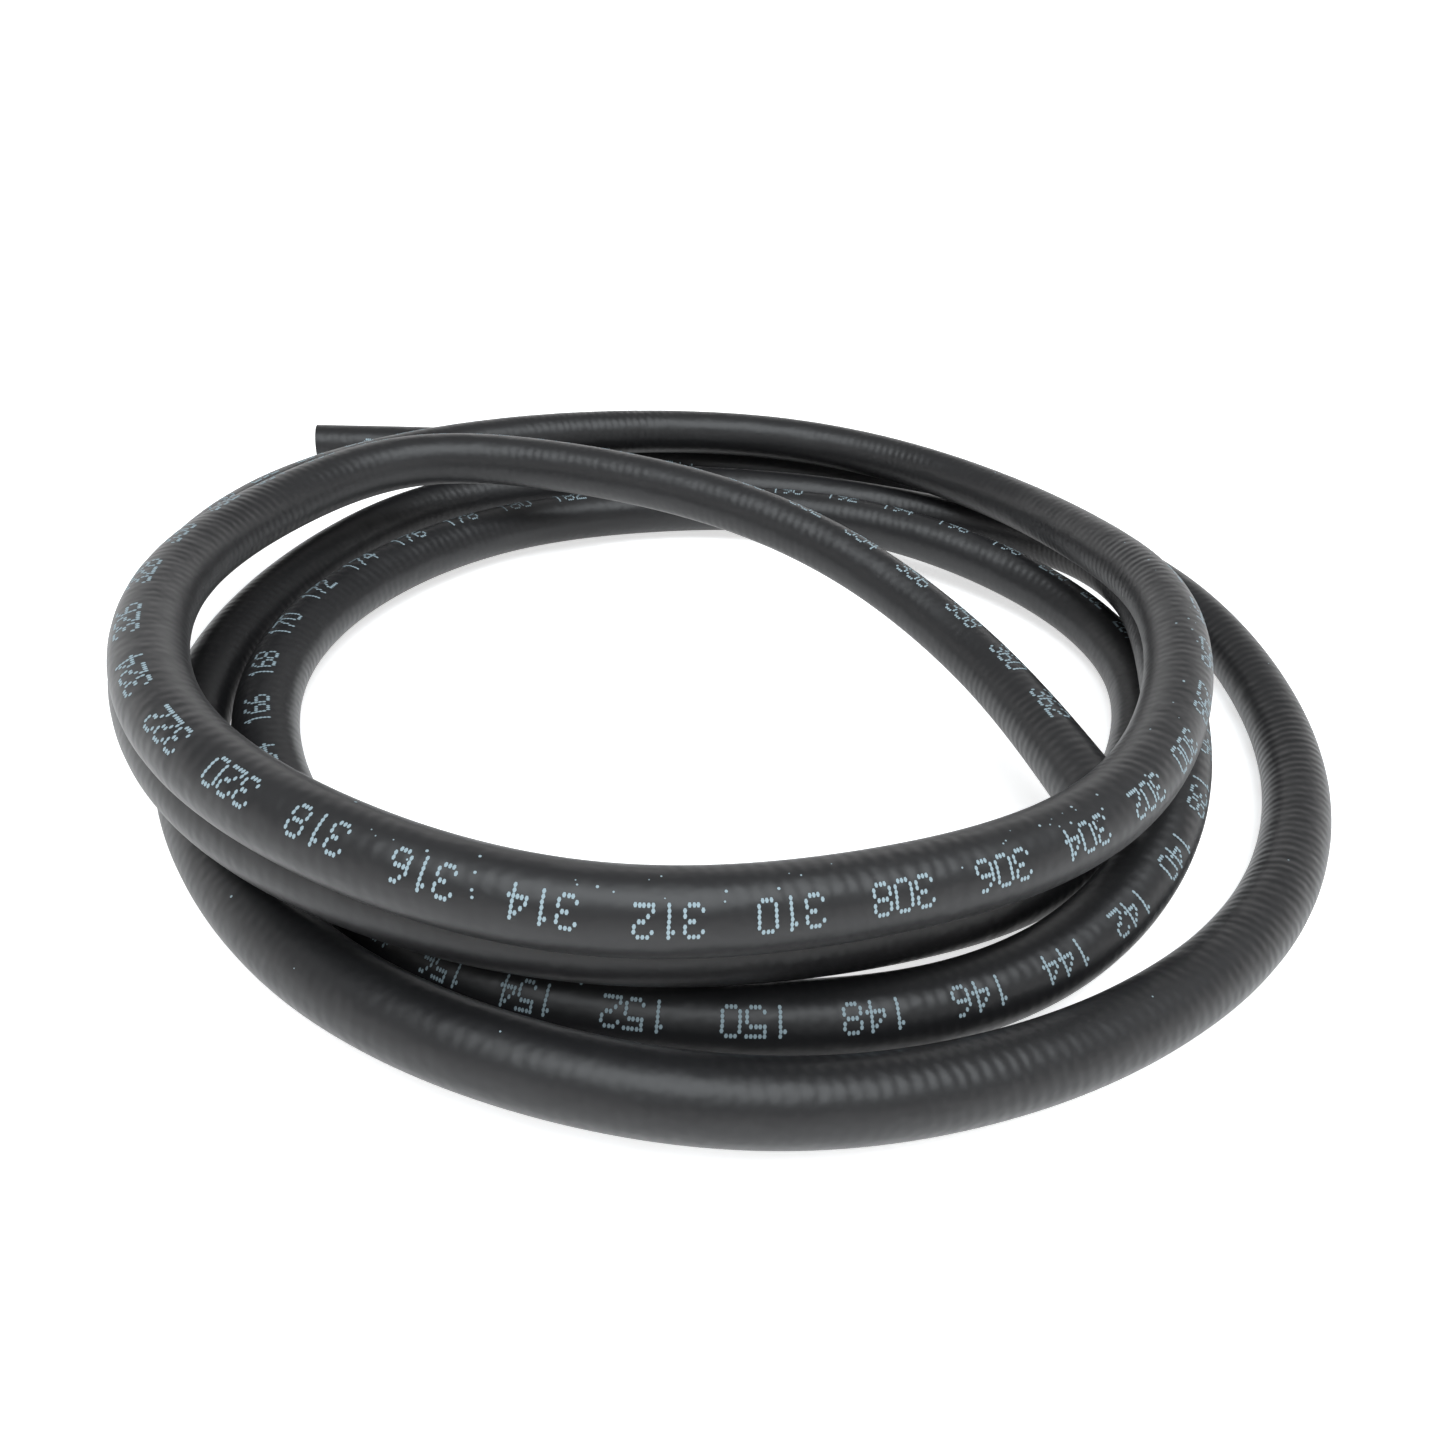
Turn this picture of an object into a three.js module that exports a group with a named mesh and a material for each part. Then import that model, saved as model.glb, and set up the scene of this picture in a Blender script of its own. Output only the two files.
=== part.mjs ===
// Rubber fuel hose, cut square at both ends and laid in an open coil of about four turns on the ground.
// Millimetres, +Z up. The front of the coil faces -Y.
import * as THREE from 'three';

// Driving sizes
const outsideDiameter = 15.9;
const boreDiameter = 9.5;
const sidesRound = 12;
const stepsPerSpan = 3.62;
const tangentReach = 0.01;

// Points that steer the middle line of the hose, in order along its length.
// The line runs as a smooth cubic curve close to them, clockwise as seen from above.
const routePoints = [
  // first cut end, straight, then the back of the outer turn on the ground
  [-170, 126, 8], [-124, 137, 8], [-72, 145, 8], [-19, 148, 8], [33, 148, 8], [84, 140, 8],
  // right side and front of the outer turn
  [127, 113, 9], [155, 71, 11], [165, 19, 9], [158, -33, 8], [132, -81, 8], [94, -114, 8],
  [50, -137, 10], [2, -148, 13], [-54, -138, 13], [-96, -110, 8], [-130, -68, 8], [-143, -17, 8],
  // left side and back of the second turn
  [-137, 35, 8], [-117, 81, 9], [-78, 110, 9], [-27, 124, 8], [28, 130, 8], [80, 120, 8],
  // right side, where it climbs over the third turn, then the front
  [119, 92, 15], [130, 40, 26], [122, -12, 25], [112, -63, 20], [80, -103, 8], [28, -125, 8],
  [-34, -126, 8], [-67, -112, 8], [-108, -72, 9], [-126, -24, 10], [-117, 26, 10], [-85, 71, 10],
  // inner turn at the back and the right
  [-39, 99, 8], [14, 106, 12], [65, 92, 14], [111, 63, 10], [129, 21, 8], [115, -28, 8],
  [86, -74, 8], [45, -101, 15], [-4, -125, 27], [-50, -123, 26], [-100, -105, 27], [-138, -64, 23],
  // upper turn at the left, the back and the right
  [-158, -13, 24], [-154, 40, 25], [-129, 81, 25], [-89, 114, 25], [-41, 138, 24], [12, 144, 25],
  [60, 131, 25], [96, 99, 27], [113, 52, 35], [122, 4, 42], [107, -52, 41], [78, -96, 41],
  // top turn at the front and the left
  [31, -119, 40], [-20, -134, 42], [-70, -123, 44], [-116, -94, 43], [-144, -36, 39], [-139, 21, 34],
  // last run, slanting across the inside of the coil to the second cut end
  [-113, 62, 37], [-63, 66, 37], [-6, 53, 37], [40, 31, 30], [77, -7, 19], [88, -69, 26],
];

// Smooth curve steered by the points, with straight ends that start and stop on the first and last point.
function routeCurve(points) {
  const inner = points.map((p) => new THREE.Vector3(...p));
  const last = inner.length - 1;
  const before = inner[0].clone().multiplyScalar(2).sub(inner[1]);
  const after = inner[last].clone().multiplyScalar(2).sub(inner[last - 1]);
  const all = [before, ...inner, after];
  return (place) => {
    const whole = Math.min(Math.floor(place), last - 1);
    const t = place - whole;
    const weights = [(1 - t) ** 3, 3 * t ** 3 - 6 * t ** 2 + 4, -3 * t ** 3 + 3 * t ** 2 + 3 * t + 1, t ** 3];
    const spot = new THREE.Vector3();
    weights.forEach((w, k) => spot.addScaledVector(all[whole + k], w / 6));
    return spot;
  };
}

// Middle line as evenly counted stations, each with its place and its level and upright directions.
function routeStations(points) {
  const curve = routeCurve(points);
  const spans = points.length - 1;
  const count = Math.round(spans * stepsPerSpan);
  const stations = [];
  for (let i = 0; i <= count; i += 1) {
    const place = (spans * i) / count;
    const ahead = curve(Math.min(place + tangentReach, spans));
    const behind = curve(Math.max(place - tangentReach, 0));
    const along = ahead.sub(behind).normalize();
    const level = along.clone().cross(new THREE.Vector3(0, 0, 1)).normalize();
    const upright = level.clone().cross(along).normalize();
    stations.push({ middle: curve(place), level, upright });
  }
  return stations;
}

// Corner points of one ring of the given radius round every station.
function ringPoints(stations, radius) {
  const flat = [];
  stations.forEach(({ middle, level, upright }) => {
    for (let k = 0; k < sidesRound; k += 1) {
      const angle = (2 * Math.PI * k) / sidesRound;
      const spot = middle.clone();
      spot.addScaledVector(level, radius * Math.cos(angle));
      spot.addScaledVector(upright, radius * Math.sin(angle));
      flat.push(spot.x, spot.y, spot.z);
    }
  });
  return flat;
}

// One solid: outside wall, bore wall and the two flat cut faces.
function hoseGeometry(points) {
  const stations = routeStations(points);
  const outside = ringPoints(stations, outsideDiameter / 2);
  const bore = ringPoints(stations, boreDiameter / 2);
  const boreStart = outside.length / 3;
  const corner = (wall, ring, k) => wall + ring * sidesRound + (k % sidesRound);
  const faces = [];
  const quad = (a, b, c, d) => faces.push(a, c, b, a, d, c);
  for (let ring = 0; ring < stations.length - 1; ring += 1) {
    for (let k = 0; k < sidesRound; k += 1) {
      quad(corner(0, ring, k), corner(0, ring, k + 1), corner(0, ring + 1, k + 1), corner(0, ring + 1, k));
      quad(corner(boreStart, ring, k), corner(boreStart, ring + 1, k),
        corner(boreStart, ring + 1, k + 1), corner(boreStart, ring, k + 1));
    }
  }
  const end = stations.length - 1;
  for (let k = 0; k < sidesRound; k += 1) {
    quad(corner(0, 0, k), corner(boreStart, 0, k), corner(boreStart, 0, k + 1), corner(0, 0, k + 1));
    quad(corner(0, end, k), corner(0, end, k + 1), corner(boreStart, end, k + 1), corner(boreStart, end, k));
  }
  const geometry = new THREE.BufferGeometry();
  geometry.setAttribute('position', new THREE.Float32BufferAttribute([...outside, ...bore], 3));
  geometry.setIndex(faces);
  return geometry;
}

// The coil stands on z = 0 with the middle of its outline over the origin.
function centreOverOrigin(geometry) {
  geometry.computeBoundingBox();
  const box = geometry.boundingBox;
  geometry.translate(-(box.min.x + box.max.x) / 2, -(box.min.y + box.max.y) / 2, -box.min.z);
  return geometry;
}

const hose = new THREE.Mesh(centreOverOrigin(hoseGeometry(routePoints)));
hose.name = 'hose';

const part = new THREE.Group();
part.add(hose);
export default part;
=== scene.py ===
# Rubber fuel hose laid in an open coil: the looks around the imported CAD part.
import math
import random

import bpy
from mathutils import Matrix, Vector


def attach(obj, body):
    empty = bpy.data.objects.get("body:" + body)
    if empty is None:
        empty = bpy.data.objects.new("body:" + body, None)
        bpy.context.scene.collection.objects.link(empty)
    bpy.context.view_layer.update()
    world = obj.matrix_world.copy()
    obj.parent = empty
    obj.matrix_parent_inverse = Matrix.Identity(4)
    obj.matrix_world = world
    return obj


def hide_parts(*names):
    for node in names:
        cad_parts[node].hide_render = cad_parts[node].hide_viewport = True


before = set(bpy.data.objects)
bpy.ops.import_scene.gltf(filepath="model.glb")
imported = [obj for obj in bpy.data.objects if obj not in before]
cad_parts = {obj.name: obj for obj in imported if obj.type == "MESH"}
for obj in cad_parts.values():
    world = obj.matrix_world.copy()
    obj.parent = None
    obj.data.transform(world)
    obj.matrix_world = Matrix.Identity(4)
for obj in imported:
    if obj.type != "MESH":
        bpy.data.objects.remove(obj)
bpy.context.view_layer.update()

# The hose. One length of black synthetic rubber fuel hose, extruded over a braid and cured.
# It is cut square at both ends, and nothing is fixed to it: it lies in a coil under its own stiffness.
outside_diameter = 0.0159
bore_diameter = 0.0095
sides_round = 36
steps_along = 1860
tangent_reach = 0.01

# Points that steer its middle line, in millimetres, the same list as in the part's source.
route_points = [
    [-170, 126, 8], [-124, 137, 8], [-72, 145, 8], [-19, 148, 8], [33, 148, 8], [84, 140, 8],
    [127, 113, 9], [155, 71, 11], [165, 19, 9], [158, -33, 8], [132, -81, 8], [94, -114, 8],
    [50, -137, 10], [2, -148, 13], [-54, -138, 13], [-96, -110, 8], [-130, -68, 8], [-143, -17, 8],
    [-137, 35, 8], [-117, 81, 9], [-78, 110, 9], [-27, 124, 8], [28, 130, 8], [80, 120, 8],
    [119, 92, 15], [130, 40, 26], [122, -12, 25], [112, -63, 20], [80, -103, 8], [28, -125, 8],
    [-34, -126, 8], [-67, -112, 8], [-108, -72, 9], [-126, -24, 10], [-117, 26, 10], [-85, 71, 10],
    [-39, 99, 8], [14, 106, 12], [65, 92, 14], [111, 63, 10], [129, 21, 8], [115, -28, 8],
    [86, -74, 8], [45, -101, 15], [-4, -125, 27], [-50, -123, 26], [-100, -105, 27], [-138, -64, 23],
    [-158, -13, 24], [-154, 40, 25], [-129, 81, 25], [-89, 114, 25], [-41, 138, 24], [12, 144, 25],
    [60, 131, 25], [96, 99, 27], [113, 52, 35], [122, 4, 42], [107, -52, 41], [78, -96, 41],
    [31, -119, 40], [-20, -134, 42], [-70, -123, 44], [-116, -94, 43], [-144, -36, 39], [-139, 21, 34],
    [-113, 62, 37], [-63, 66, 37], [-6, 53, 37], [40, 31, 30], [77, -7, 19], [88, -69, 26],
]


# Place on the smooth cubic curve that the points steer, with straight ends.
def route_place(steer, place):
    whole = min(int(place), len(steer) - 4)
    t = place - whole
    weights = ((1 - t) ** 3, 3 * t ** 3 - 6 * t ** 2 + 4, -3 * t ** 3 + 3 * t ** 2 + 3 * t + 1, t ** 3)
    spot = Vector((0, 0, 0))
    for k, weight in enumerate(weights):
        spot += steer[whole + k] * (weight / 6)
    return spot


steer_points = [Vector(p) / 1000 for p in route_points]
steer_points.insert(0, steer_points[0] * 2 - steer_points[1])
steer_points.append(steer_points[-1] * 2 - steer_points[-2])
spans = len(route_points) - 1
stations = []
travelled = 0
for i in range(steps_along + 1):
    place = spans * i / steps_along
    middle = route_place(steer_points, place)
    ahead = route_place(steer_points, min(place + tangent_reach, spans))
    behind = route_place(steer_points, max(place - tangent_reach, 0))
    along = (ahead - behind).normalized()
    level = along.cross(Vector((0, 0, 1))).normalized()
    upright = level.cross(along).normalized()
    if stations:
        travelled += (middle - stations[-1]["middle"]).length
    stations.append({"middle": middle, "level": level, "upright": upright, "travelled": travelled})
hose_length = travelled

# The coil stands on z = 0 with the middle of its outline over the origin, as the CAD part does. The part's
# rings have fewer corners than these, and its outline is the one that counts.
part_sides_round = 12
ring_spots = []
for st in stations:
    for k in range(part_sides_round):
        angle = 2 * math.pi * k / part_sides_round
        out = st["level"] * math.cos(angle) + st["upright"] * math.sin(angle)
        ring_spots.append(st["middle"] + out * outside_diameter / 2)
low = Vector([min(s[axis] for s in ring_spots) for axis in range(3)])
high = Vector([max(s[axis] for s in ring_spots) for axis in range(3)])
shift = Vector((-(low.x + high.x) / 2, -(low.y + high.y) / 2, -low.z))
for st in stations:
    st["middle"] += shift

# Its outer wall, bore and cut ends, with the distance along and round the hose kept as texture coordinates.
# The ends have corner points of their own, so that the cut edges stay crisp.
bore_every = 6
verts, faces, marks, face_material = [], [], [], []


# Corner points of one ring of the hose.
def add_ring(st, radius):
    for k in range(sides_round):
        angle = 2 * math.pi * k / sides_round
        out = st["level"] * math.cos(angle) + st["upright"] * math.sin(angle)
        verts.append(st["middle"] + out * radius)


# Wall between rings that already stand one after another; a bore faces inwards.
def add_wall(start, rings, material, inwards):
    for i in range(len(rings) - 1):
        near, far = rings[i]["travelled"], rings[i + 1]["travelled"]
        for k in range(sides_round):
            a = start + i * sides_round + k
            b = start + i * sides_round + (k + 1) % sides_round
            turn, next_turn = k / sides_round, (k + 1) / sides_round
            face = (a, a + sides_round, b + sides_round, b)
            mark = ((near, turn), (far, turn), (far, next_turn), (near, next_turn))
            faces.append(face[::-1] if inwards else face)
            marks.append(mark[::-1] if inwards else mark)
            face_material.append(material)


for st in stations:
    add_ring(st, outside_diameter / 2)
add_wall(0, stations, 0, False)
bore_stations = stations[::bore_every]
bore_start = len(verts)
for st in bore_stations:
    add_ring(st, bore_diameter / 2)
add_wall(bore_start, bore_stations, 1, True)
for st, facing_back in ((stations[0], True), (stations[-1], False)):
    start = len(verts)
    add_ring(st, outside_diameter / 2)
    add_ring(st, bore_diameter / 2)
    for k in range(sides_round):
        n = (k + 1) % sides_round
        face = (start + k, start + n, start + sides_round + n, start + sides_round + k)
        faces.append(face if facing_back else face[::-1])
        marks.append(((0, 0),) * 4)
        face_material.append(1)

# Printed line: plain length marks in centimetres, jetted on as rows of small dots.
# The line winds round the hose as the hose was twisted when it was laid: each pair is a distance along it
# in metres and the print's place round it in degrees, from its level side over its top.
print_winding = [
    (0, 24), (0.12, 10), (0.3, -55), (0.7, -85), (1.0, -90), (1.38, -234), (1.55, -232), (1.66, -264),
    (1.85, -262), (2.0, -256), (2.2, -262), (2.4, -260), (2.6, -235), (2.85, -225), (3.03, -226),
    (3.08, -220), (3.13, -215), (3.18, -236), (3.24, -246), (3.3, -250), (3.36, -235), (3.5, -235),
    (3.56, -262), (3.7, -266),
]
digit_rows = {
    "0": "01110 10001 10001 10001 10001 10001 01110",
    "1": "00100 01100 00100 00100 00100 00100 00100",
    "2": "01110 10001 00001 00110 01000 10000 11111",
    "3": "01110 10001 00001 00110 00001 10001 01110",
    "4": "00010 00110 01010 10010 11111 00010 00010",
    "5": "11111 10000 11110 00001 00001 10001 01110",
    "6": "00110 01000 10000 11110 10001 10001 01110",
    "7": "11111 00001 00010 00100 00100 01000 01000",
    "8": "01110 10001 10001 01110 10001 10001 01110",
    "9": "01110 10001 10001 01111 00001 00010 01100",
}
middle_row = 3
mark_every = 0.02
digit_pitch = 0.004
column_pitch = 0.00072
row_pitch = 0.0009
dot_sides = 6
dot_radius = 0.00033
dot_stretch = 1.5
dot_wander = 0.00005
dot_lift = 0.00003


# Angle of the printed line round the hose, at a distance along it.
def winding_at(distance):
    for (start, first), (end, second) in zip(print_winding, print_winding[1:]):
        if distance <= end:
            return math.radians(first + (second - first) * (distance - start) / (end - start))
    return math.radians(print_winding[-1][1])


# One small flat dot on the hose, at a distance along it and an angle round it, stretched round the hose.
def add_dot(distance, angle, radius, stretch=1):
    start = len(verts)
    for k in range(dot_sides):
        corner = 2 * math.pi * k / dot_sides
        exact = (distance + math.cos(corner) * radius) / hose_length * steps_along
        i = max(0, min(steps_along - 1, int(exact)))
        here, there, share = stations[i], stations[i + 1], exact - i
        turn = angle + math.sin(corner) * radius * stretch / (outside_diameter / 2)
        level = here["level"].lerp(there["level"], share)
        upright = here["upright"].lerp(there["upright"], share)
        out = (level * math.cos(turn) + upright * math.sin(turn)).normalized()
        verts.append(here["middle"].lerp(there["middle"], share) + out * (outside_diameter / 2 + dot_lift))
    faces.append(tuple(range(start, start + dot_sides)))
    marks.append(((0, 0),) * dot_sides)
    face_material.append(2)


random.seed(7)
for mark in range(1, int(hose_length / mark_every)):
    centimetres = round(mark * mark_every * 100)
    for position, digit in enumerate("%03d" % centimetres):
        for row, bits in enumerate(digit_rows[digit].split()):
            for column, bit in enumerate(bits):
                distance = mark * mark_every + position * digit_pitch + column * column_pitch
                angle = winding_at(distance) - (row - middle_row) * row_pitch / (outside_diameter / 2)
                if bit == "1":
                    wander = random.uniform(-dot_wander, dot_wander)
                    add_dot(distance + wander, angle, dot_radius, dot_stretch)

# Dust: small pale specks, most of them on top of the uppermost strand at the front.
speck_count = 90
front_specks = 60
front_start, front_end = 2.9, 3.2
speck_angle, speck_spread = 100, 15
speck_radii = (0.00014, 0.0002, 0.0003)
for speck in range(speck_count):
    if speck < front_specks:
        distance = random.uniform(front_start, front_end)
    else:
        distance = random.uniform(0, hose_length)
    angle = math.radians(random.gauss(speck_angle, speck_spread))
    add_dot(distance, angle, random.choice(speck_radii))

hose_mesh = bpy.data.meshes.new("hose_rubber")
hose_mesh.from_pydata([tuple(v) for v in verts], [], faces)
marks_layer = hose_mesh.uv_layers.new(name="along_round")
flat_marks = [value for face in marks for pair in face for value in pair]
marks_layer.data.foreach_set("uv", flat_marks)
hose_mesh.polygons.foreach_set("material_index", face_material)
hose_mesh.polygons.foreach_set("use_smooth", [True] * len(faces))
hose_mesh.update()
hose = bpy.data.objects.new("hose_rubber", hose_mesh)
bpy.context.collection.objects.link(hose)

# Cover rubber: near-black and satin. The braid's two crossing sets of strands show through it as slanted
# ripples, stronger in some places than in others, over soft uneven patches from the curing.
ripple_pitch = 0.0028
ripple_wander = 5
right_starts, left_starts = 3, -6
left_strength = 0.25
ripple_strength = 0.3
patch_strength = 4.5
relief_depth = 0.00008
cover = bpy.data.materials.new("hose_cover")
cover.use_nodes = True
nodes, links = cover.node_tree.nodes, cover.node_tree.links
rubber = nodes["Principled BSDF"]
rubber.inputs["Roughness"].default_value = 0.42
rubber.inputs["Specular IOR Level"].default_value = 0.45
rubber.inputs["IOR"].default_value = 1.5
along_round = nodes.new("ShaderNodeUVMap")
along_round.uv_map = "along_round"
split = nodes.new("ShaderNodeSeparateXYZ")
links.new(along_round.outputs["UV"], split.inputs["Vector"])


# Sum, product, power or sine of values, each of them a socket or a number.
def reckon(how, first, second):
    node = nodes.new("ShaderNodeMath")
    node.operation = how
    for socket, value in zip(node.inputs, (first, second)):
        if isinstance(value, (int, float)):
            socket.default_value = value
        else:
            links.new(value, socket)
    return node.outputs["Value"]


# Slow unevenness in the rubber, of the given size in metres.
def patches(size, detail):
    where = nodes.new("ShaderNodeTexCoord")
    noise = nodes.new("ShaderNodeTexNoise")
    noise.inputs["Scale"].default_value = 1 / size
    noise.inputs["Detail"].default_value = detail
    links.new(where.outputs["Object"], noise.inputs["Vector"])
    return noise.outputs["Fac"]


# Ripples of one set of strands, which wind round the hose this many times for each pitch. They wander a little.
def strand_ripple(pitch, starts, wander):
    along = reckon("MULTIPLY", split.outputs["X"], 2 * math.pi / pitch)
    turn = reckon("MULTIPLY", split.outputs["Y"], 2 * math.pi * starts)
    drift = reckon("MULTIPLY", wander, ripple_wander)
    return reckon("SINE", reckon("ADD", reckon("ADD", along, turn), drift), 0)


right_hand = strand_ripple(ripple_pitch, right_starts, patches(0.012, 2))
left_hand = strand_ripple(ripple_pitch, left_starts, patches(0.015, 1))
right_share = reckon("MULTIPLY", reckon("POWER", patches(0.05, 1), 3), 5)
right_part = reckon("MULTIPLY", right_hand, right_share)
crossing = reckon("ADD", right_part, reckon("MULTIPLY", left_hand, left_strength))
ripples = reckon("MULTIPLY", crossing, ripple_strength)
relief = reckon("ADD", ripples, reckon("MULTIPLY", patches(0.0065, 2), patch_strength))
ripple_bump = nodes.new("ShaderNodeBump")
ripple_bump.inputs["Strength"].default_value = 1
ripple_bump.inputs["Distance"].default_value = relief_depth
links.new(relief, ripple_bump.inputs["Height"])
links.new(ripple_bump.outputs["Normal"], rubber.inputs["Normal"])
bloom = nodes.new("ShaderNodeMix")
bloom.data_type = "RGBA"
bloom.inputs["A"].default_value = (0.006, 0.006, 0.007, 1)
bloom.inputs["B"].default_value = (0.014, 0.014, 0.015, 1)
links.new(patches(0.018, 3), bloom.inputs["Factor"])
links.new(bloom.outputs["Result"], rubber.inputs["Base Color"])

# Bore and cut ends: the same rubber, plainer and duller.
bore_rubber = bpy.data.materials.new("hose_bore")
bore_rubber.use_nodes = True
inside = bore_rubber.node_tree.nodes["Principled BSDF"]
inside.inputs["Base Color"].default_value = (0.012, 0.012, 0.013, 1)
inside.inputs["Roughness"].default_value = 0.6

# Printing ink and dust, pale and flat.
ink = bpy.data.materials.new("print_ink")
ink.use_nodes = True
dye = ink.node_tree.nodes["Principled BSDF"]
dye.inputs["Base Color"].default_value = (0.26, 0.34, 0.38, 1)
dye.inputs["Roughness"].default_value = 0.7

for material in (cover, bore_rubber, ink):
    hose_mesh.materials.append(material)

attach(hose, "root")
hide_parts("hose")

# Stage. A plain pale sheet under the hose, lit by one large soft light overhead and a pale room.
# The sheet rises far away, so that pale ground shows to every side.
floor_drop = 0.0002
floor_mesh = bpy.data.meshes.new("floor")
floor_rings = [(0.5, 0), (4.6, 0), (5.2, 0.06), (5.7, 0.35), (5.95, 0.9), (6, 2.6)]
floor_sides = 64
floor_verts = []
for reach, rise in floor_rings:
    for k in range(floor_sides):
        angle = 2 * math.pi * k / floor_sides
        floor_verts.append((reach * math.cos(angle), reach * math.sin(angle), rise))
floor_faces = [tuple(range(floor_sides))]
for i in range(len(floor_rings) - 1):
    for k in range(floor_sides):
        n = (k + 1) % floor_sides
        floor_faces.append((i * floor_sides + k, i * floor_sides + floor_sides + k,
                            i * floor_sides + floor_sides + n, i * floor_sides + n))
floor_mesh.from_pydata(floor_verts, [], floor_faces)
floor = bpy.data.objects.new("floor", floor_mesh)
floor.location.z = -floor_drop
bpy.context.collection.objects.link(floor)
paper = bpy.data.materials.new("floor_paper")
paper.use_nodes = True
sheet = paper.node_tree.nodes["Principled BSDF"]
sheet.inputs["Base Color"].default_value = (0.93, 0.93, 0.93, 1)
sheet.inputs["Roughness"].default_value = 0.9
sheet.inputs["Specular IOR Level"].default_value = 0.1
sheet.inputs["Emission Color"].default_value = (1, 1, 1, 1)
sheet.inputs["Emission Strength"].default_value = 0.62
floor_mesh.materials.append(paper)

world = bpy.data.worlds.new("room")
world.use_nodes = True
world.node_tree.nodes["Background"].inputs["Color"].default_value = (1, 1, 1, 1)
world.node_tree.nodes["Background"].inputs["Strength"].default_value = 0.35
bpy.context.scene.world = world
bpy.context.scene.view_settings.view_transform = "Standard"

softbox_light = bpy.data.lights.new("softbox", "AREA")
softbox_light.shape = "RECTANGLE"
softbox_light.size = 1.3
softbox_light.size_y = 0.8
softbox_light.energy = 15
softbox_light.color = (0.92, 0.97, 1)
softbox = bpy.data.objects.new("softbox", softbox_light)
softbox.location = (0.1, -0.3, 1.1)
softbox.rotation_euler = (Vector((0, 0, 0)) - softbox.location).to_track_quat("-Z", "Y").to_euler()
bpy.context.collection.objects.link(softbox)

# Camera, close to the coil and looking down on it, tilted a little as in the photograph.
camera_place = Vector((0, -0.2457, 0.1709))
looks_down = 36.8
leans = 6
camera_data = bpy.data.cameras.new("camera")
camera_data.sensor_width = 36
camera_data.lens = 24.9
camera_data.clip_start = 0.01
camera = bpy.data.objects.new("camera", camera_data)
pitch = Matrix.Rotation(math.radians(90 - looks_down), 4, "X")
tilt = Matrix.Rotation(math.radians(leans), 4, "Z")
camera.matrix_world = Matrix.Translation(camera_place + shift) @ pitch @ tilt
bpy.context.collection.objects.link(camera)
bpy.context.scene.camera = camera
